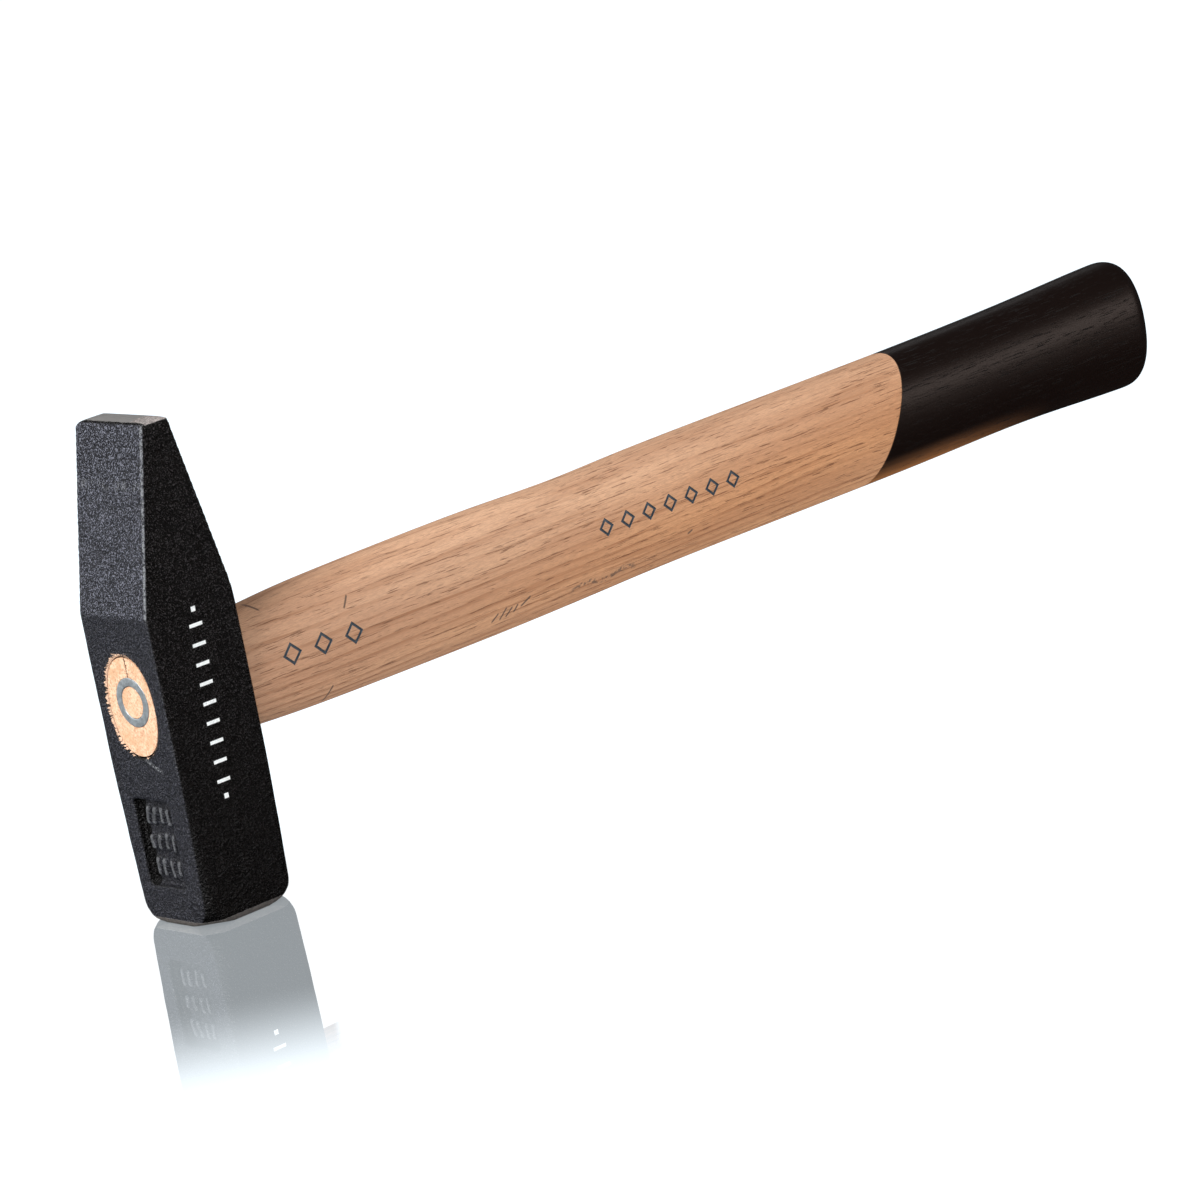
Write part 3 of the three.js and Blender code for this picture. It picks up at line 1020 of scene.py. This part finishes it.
def stamp_tool():
    """The drafted field let into the eye side of the poll."""
    face = -HEAD_HIGH.y
    draft = 0.6 * MM
    low = STAMP_MIDDLE - STAMP_HALF
    high = STAMP_MIDDLE + STAMP_HALF
    low.x, high.x = face - 2 * MM, face + STAMP_DEPTH
    tool = add_box("stamp_tool", low, high)
    with edit_mode(tool):
        pick("FACE", lambda face: face.normal.x > 0.9)
        shrink = [1, 1 - draft / STAMP_HALF.y, 1 - draft / STAMP_HALF.z]
        bpy.ops.transform.resize(value=shrink, center_override=(0, STAMP_MIDDLE.y, STAMP_MIDDLE.z))
        pick("EDGE", lambda edge: abs(edge.verts[0].co.x - edge.verts[1].co.x) > MM)
        bpy.ops.mesh.bevel(offset=1.0 * MM, segments=4, affect="EDGES")
        pick("FACE", lambda face: face.normal.x > 0.9)
        bpy.ops.mesh.bevel(offset=0.35 * MM, segments=3, affect="EDGES")
    return tool


def stamp_bars():
    """Three rows of plain raised bars on the field's floor, struck a little unevenly."""
    chance = random.Random(3)
    floor = -HEAD_HIGH.y + STAMP_DEPTH
    bars = []
    column_pitch, row_pitch = 2.4 * MM, 5.6 * MM
    corner = 0.38 * MM
    for row in range(3):
        for column in range(4):
            y = STAMP_MIDDLE.y + (column - 1.5) * column_pitch
            z = STAMP_MIDDLE.z + (row - 1) * row_pitch
            thick = 1.3 + chance.uniform(0, 0.4)
            wide = chance.uniform(0.95, 1.35)
            high = chance.uniform(2.9, 4.1)
            size = Vector((thick, wide, high)) * MM
            bar = add_box(f"bar_{row}_{column}", -size / 2, size / 2)
            with edit_mode(bar):
                bpy.ops.mesh.select_all(action="SELECT")
                bpy.ops.mesh.bevel(offset=corner, segments=3, affect="EDGES")
            bar.rotation_euler.x = chance.uniform(-0.3, 0.3)
            bar.location = (floor, y, z + chance.uniform(-0.3, 0.3) * MM)
            make_active(bar)
            bpy.ops.object.transform_apply(location=True, rotation=True, scale=True)
            bars.append(bar)
    return bars


def forging_line():
    """A thin raised line from the field's lower corner to the edge of the poll."""
    face = -HEAD_HIGH.y
    low = (face + 0.02 * MM, -9.2 * MM, 6.9 * MM)
    high = (face + MM, -5.2 * MM, 7.3 * MM)
    line = add_box("forging_line", low, high)
    with edit_mode(line):
        pick("VERT", lambda v: v.co.y > -6 * MM)
        bpy.ops.transform.translate(value=(0, 0, 0.8 * MM))
    return line


def raise_skin(head, s):
    """Turns the head into fine even facets and gives the forged faces their slight unevenness."""
    apply_modifier(head, "REMESH", mode="VOXEL", voxel_size=s.voxel, adaptivity=0.0)
    apply_modifier(head, "SMOOTH", factor=0.5, iterations=3)
    forged = head.vertex_groups.new(name="forged")
    low, high = s.bevel_height + 0.2 * MM, HEAD_HIGH.z - MM
    inside = [v.index for v in head.data.vertices if low < v.co.z < high]
    forged.add(inside, 1.0, "REPLACE")
    for name, size, strength in (("forging_swell", 7.0, 0.12), ("forging_grain", 1.1, 0.05)):
        texture = bpy.data.textures.new(name, "CLOUDS")
        texture.noise_scale = size * MM
        texture.noise_depth = 2
        apply_modifier(
            head,
            "DISPLACE",
            texture=texture,
            texture_coords="LOCAL",
            strength=strength * MM,
            mid_level=0.5,
            vertex_group="forged",
        )
    head.vertex_groups.clear()


# ---------------------------------------------------------------- the handle


# Gap between the ring wedge and the slot that it sits in.
RING_SLOT_GAP = 0.1 * MM


class HAMMER_OT_shape_handle(bpy.types.Operator):
    """Shapes the handle through the frame's own sections, slots it for the ring and marks it"""

    bl_idname = "hammer.shape_handle"
    bl_label = "Shape Handle"
    bl_options = {"REGISTER", "UNDO"}

    def execute(self, context):
        settings = context.scene.hammer_handle
        handle = turned_handle(settings)
        handle.data.materials.append(hickory(settings))
        cut_or_join(handle, ring_tool(context.scene.hammer_ring, RING_SLOT_GAP), "DIFFERENCE")
        fill = mark_fill(settings)
        for tool in lozenge_tools(settings, fill):
            cut_or_join(handle, tool, "DIFFERENCE")
        make_active(handle)
        bpy.ops.object.shade_smooth_by_angle(angle=math.radians(35))
        finish_piece(handle, "hickory", "handle")
        return {"FINISHED"}


def turned_handle(s):
    """The handle's oval body, rounded by subdivision, with a crisp tenon end."""
    sections = cad_sections("handle", LEAST_SECTION)
    start = sections[0]
    near_end = (start[0] + 0.5 * MM, *start[1:])
    handle = loft_ovals("hickory_handle", [start, near_end, *sections[1:]], s.around, s.squareness)
    with edit_mode(handle):
        pick("FACE", lambda face: face.normal.x < -0.99 and len(face.verts) == s.around)
        for _ in range(3):
            bpy.ops.mesh.inset(thickness=1.1 * MM)
        pick("EDGE", lambda edge: on_rim(edge, start[0] + MM / 10))
        bpy.ops.transform.edge_crease(value=0.85)
    apply_modifier(handle, "SUBSURF", levels=2, render_levels=2)
    return handle


def on_rim(edge, limit):
    """Whether an edge lies short of a place along X, between an end face and a side."""
    at_end = all(vertex.co.x < limit for vertex in edge.verts)
    return at_end and any(abs(face.normal.x) < 0.5 for face in edge.link_faces)


def ring_profile(s, margin):
    """((x, bore, radius) at the outer end, the same at the tip), swollen by a margin."""
    radius = (RING_HIGH.y - RING_LOW.y) / 2
    outer = (RING_LOW.x, s.bore - margin, radius + margin)
    tip = (RING_HIGH.x + margin, s.tip_bore - margin, s.tip_radius + margin)
    return outer, tip


def add_ring(name, outer, tip, around=96):
    """A conical ring along X through (x, bore, radius) at its two ends."""
    middle = Vector((0, (RING_LOW.y + RING_HIGH.y) / 2, (RING_LOW.z + RING_HIGH.z) / 2))
    bpy.ops.mesh.primitive_circle_add(
        vertices=around,
        radius=outer[1],
        fill_type="NOTHING",
        location=middle + Vector((outer[0], 0, 0)),
        rotation=(math.pi / 2, 0, math.pi / 2),
    )
    ring = named(name)
    with edit_mode(ring):
        bpy.ops.mesh.select_all(action="SELECT")
        bpy.ops.mesh.extrude_region_move()
        spread = outer[2] / outer[1]
        bpy.ops.transform.resize(value=(1, spread, spread), center_override=middle)
        bpy.ops.mesh.select_all(action="SELECT")
        bpy.ops.mesh.extrude_region_move(TRANSFORM_OT_translate={"value": (tip[0] - outer[0], 0, 0)})
        halfway = (outer[0] + tip[0]) / 2
        limit = (outer[1] + outer[2]) / 2
        for old, new, inner in ((outer[1], tip[1], True), (outer[2], tip[2], False)):
            pick("VERT", lambda v: v.co.x > halfway and ((v.co - middle).yz.length < limit) == inner)
            bpy.ops.transform.resize(value=(1, new / old, new / old), center_override=middle)
        bpy.ops.mesh.select_all(action="SELECT")
        bpy.ops.mesh.normals_make_consistent(inside=False)
    return ring


def ring_tool(s, margin):
    """The slot for the ring wedge, open at the wood's end."""
    outer, tip = ring_profile(s, margin)
    return add_ring("ring_tool", (outer[0] - MM, *outer[1:]), tip)


# Rows of lozenges: count, first place along X, pitch, height, lean, and half a lozenge's size, in mm.
LOZENGE_ROWS = (
    (3, 24.5, 8.2, 48.0, -0.03, 2.5),
    (7, 113.0, 6.3, 49.3, 0.0, 2.1),
)
LOZENGE_STROKE = 0.42 * MM


def lozenge_tools(s, fill):
    """Lozenge outlines pressed into the side in view: three by the head, seven halfway along."""
    sections = cad_sections("handle", LEAST_SECTION)
    tools = []
    for count, first, pitch, middle, lean, half in LOZENGE_ROWS:
        for place in range(count):
            x = (first + place * pitch) * MM
            z = (middle + place * pitch * lean) * MM
            side = (x, -side_at(sections, x), z)
            tools.append(lozenge_tool(side, half * MM, s.mark_depth, fill))
    return tools


def side_at(sections, x):
    """Half the handle's thickness at a place along it."""
    for low, high in zip(sections, sections[1:]):
        if low[0] <= x <= high[0]:
            share = (x - low[0]) / (high[0] - low[0])
            return low[3] + (high[3] - low[3]) * share
    raise RuntimeError("the mark lies off the handle")


def lozenge_tool(place, half, mark_depth, fill):
    """A thin lozenge outline standing in the handle's surface."""
    bpy.ops.mesh.primitive_cylinder_add(
        vertices=4,
        radius=half,
        depth=2 * mark_depth,
        location=place,
        rotation=(math.pi / 2, 0, 0),
    )
    tool = named("lozenge_tool")
    with edit_mode(tool):
        pick("FACE", lambda face: abs(face.normal.y) > 0.9)
        bpy.ops.mesh.inset(thickness=LOZENGE_STROKE * math.sqrt(2))
        bpy.ops.mesh.bridge_edge_loops()
        bpy.ops.mesh.select_all(action="SELECT")
        bpy.ops.mesh.normals_make_consistent(inside=False)
    tool.data.materials.append(fill)
    return tool


# ---------------------------------------------------------------- the ring wedge


class HAMMER_OT_drive_ring(bpy.types.Operator):
    """Makes the conical ring wedge and sets it in the tenon's end"""

    bl_idname = "hammer.drive_ring"
    bl_label = "Drive Ring Wedge"
    bl_options = {"REGISTER", "UNDO"}

    def execute(self, context):
        settings = context.scene.hammer_ring
        ring = add_ring("zinc_ring_wedge", *ring_profile(settings, 0.0))
        outer = RING_LOW.x
        with edit_mode(ring):
            pick("EDGE", lambda edge: on_rim(edge, outer + MM / 10))
            bpy.ops.mesh.bevel(offset=settings.lip, segments=4, affect="EDGES")
            pick("VERT", lambda v: v.co.x < outer + settings.lip)
            bpy.ops.transform.vertex_random(offset=0.02 * MM, seed=2)
            pick("VERT", lambda v: v.co.x < outer)
            bpy.ops.transform.translate(value=(0.02 * MM, 0, 0))
        ring.data.materials.append(zinc_plate(settings))
        make_active(ring)
        bpy.ops.object.shade_smooth_by_angle(angle=math.radians(40))
        finish_piece(ring, "zinc_steel", "ring_wedge")
        return {"FINISHED"}


# ---------------------------------------------------------------- the studio


class HAMMER_OT_set_stage(bpy.types.Operator):
    """Lays the floor, hangs the softboxes and stands the camera"""

    bl_idname = "hammer.set_stage"
    bl_label = "Set Stage"
    bl_options = {"REGISTER", "UNDO"}

    def execute(self, context):
        settings = context.scene.hammer_studio
        lay_floor()
        hang_softboxes()
        light_sky(context.scene, settings)
        stand_camera(context.scene, settings)
        context.scene.view_settings.view_transform = "Standard"
        return {"FINISHED"}


def lay_floor():
    """A wide floor just under the striking face, hidden from the lacquer's reflections."""
    gap = 0.05 * MM
    bpy.ops.mesh.primitive_plane_add(size=40, location=(0, 0, -gap))
    floor = named("studio_floor")
    floor.data.materials.append(studio_floor())
    floor.visible_glossy = False


def hang_softboxes():
    """Soft lights, each by its place, size, power and tint, all aimed at the middle of the hammer."""
    target = Vector((0.08, 0, 0.05))
    boxes = (
        ("overhead_front", (-0.15, -0.95, 1.25), (0.9, 0.9), 12.0, (1, 1, 1)),
        ("overhead_left", (-0.8, -0.1, 1.2), (0.6, 0.6), 17.0, (1, 1, 1)),
        ("left_front", (-1.25, -0.45, 0.55), (0.6, 0.6), 7.5, (1, 1, 1)),
        ("right_front", (1.04, -0.83, 0.13), (0.55, 0.23), 1.4, (1, 0.82, 0.74)),
        ("right_back", (0.85, 0.78, 0.85), (0.5, 0.5), 0.5, (1, 1, 1)),
        ("left_back", (-0.95, 1.05, 0.34), (0.62, 0.62), 7.0, (1, 1, 1)),
    )
    for name, place, size, power, tint in boxes:
        aim = target - Vector(place)
        bpy.ops.object.light_add(
            type="AREA", location=place, rotation=aim.to_track_quat("-Z", "Y").to_euler()
        )
        box = bpy.context.object
        box.name = name
        box.data.shape = "RECTANGLE"
        box.data.size, box.data.size_y = size
        box.data.energy = power
        box.data.color = tint


def light_sky(scene, settings):
    """A white sky for the camera, and a softer one for the light, darker below the horizon."""
    world = bpy.data.worlds.new("studio_sky")
    scene.world = world
    world.use_nodes = True
    tree = world.node_tree
    kinds = ("TexCoord", "SeparateXYZ", "MapRange", "LightPath", "Math", "Math")
    coordinates, split, height, path, seen, bright = (
        tree.nodes.new("ShaderNode" + kind) for kind in kinds
    )
    seen.operation = "MAXIMUM"
    bright.operation = "MAXIMUM"
    height.inputs["From Min"].default_value = -0.35
    height.inputs["From Max"].default_value = 0.35
    height.inputs["To Min"].default_value = 0.5 * settings.ambient
    height.inputs["To Max"].default_value = settings.ambient
    background = tree.nodes["Background"]
    background.inputs["Color"].default_value = (1, 1, 1, 1)
    for output, socket in (
        (coordinates.outputs["Generated"], split.inputs["Vector"]),
        (split.outputs["Z"], height.inputs["Value"]),
        (path.outputs["Is Camera Ray"], seen.inputs[0]),
        (path.outputs["Is Singular Ray"], seen.inputs[1]),
        (seen.outputs["Value"], bright.inputs[0]),
        (height.outputs["Result"], bright.inputs[1]),
        (bright.outputs["Value"], background.inputs["Strength"]),
    ):
        tree.links.new(output, socket)


def stand_camera(scene, s):
    """The camera at its place, turned by its azimuth, pitch and roll."""
    ahead = Vector((math.sin(s.azimuth), math.cos(s.azimuth), 0))
    forward = ahead * math.cos(s.pitch) - Vector((0, 0, math.sin(s.pitch)))
    level = Vector((math.cos(s.azimuth), -math.sin(s.azimuth), 0))
    above = level.cross(forward)
    right = level * math.cos(s.roll) + above * math.sin(s.roll)
    up = above * math.cos(s.roll) - level * math.sin(s.roll)
    turn = Matrix((right, up, -forward)).transposed()
    bpy.ops.object.camera_add(location=s.camera_place, rotation=turn.to_euler())
    camera = bpy.context.object
    camera.name = "camera"
    camera.data.sensor_width = 36
    camera.data.lens = s.lens
    camera.data.clip_start = 0.01
    camera.data.clip_end = 100
    scene.camera = camera


# ---------------------------------------------------------------- panel and registration


class HAMMER_PT_sidebar(bpy.types.Panel):
    """Lists the hammer's steps and settings"""

    bl_label = "Cross Peen Hammer"
    bl_idname = "HAMMER_PT_sidebar"
    bl_space_type = "VIEW_3D"
    bl_region_type = "UI"
    bl_category = "Hammer"

    def draw(self, context):
        for operator, group in STEPS:
            box = self.layout.box()
            box.operator(operator)
            settings = getattr(context.scene, group)
            for key in settings.__annotations__:
                box.prop(settings, key)


STEPS = (
    ("hammer.forge_head", "hammer_head"),
    ("hammer.shape_handle", "hammer_handle"),
    ("hammer.drive_ring", "hammer_ring"),
    ("hammer.set_stage", "hammer_studio"),
)

GROUPS = {
    "hammer_head": HeadSettings,
    "hammer_handle": HandleSettings,
    "hammer_ring": RingSettings,
    "hammer_studio": StudioSettings,
}

CLASSES = (
    *GROUPS.values(),
    HAMMER_OT_forge_head,
    HAMMER_OT_shape_handle,
    HAMMER_OT_drive_ring,
    HAMMER_OT_set_stage,
    HAMMER_PT_sidebar,
)


def register():
    for cls in CLASSES:
        bpy.utils.register_class(cls)
    for name, group in GROUPS.items():
        setattr(bpy.types.Scene, name, PointerProperty(type=group))


def unregister():
    for name in GROUPS:
        delattr(bpy.types.Scene, name)
    for cls in reversed(CLASSES):
        bpy.utils.unregister_class(cls)


def main():
    register()
    deselect_all()
    bpy.ops.hammer.forge_head()
    bpy.ops.hammer.shape_handle()
    bpy.ops.hammer.drive_ring()
    bpy.ops.hammer.set_stage()


if __name__ == "__main__":
    main()
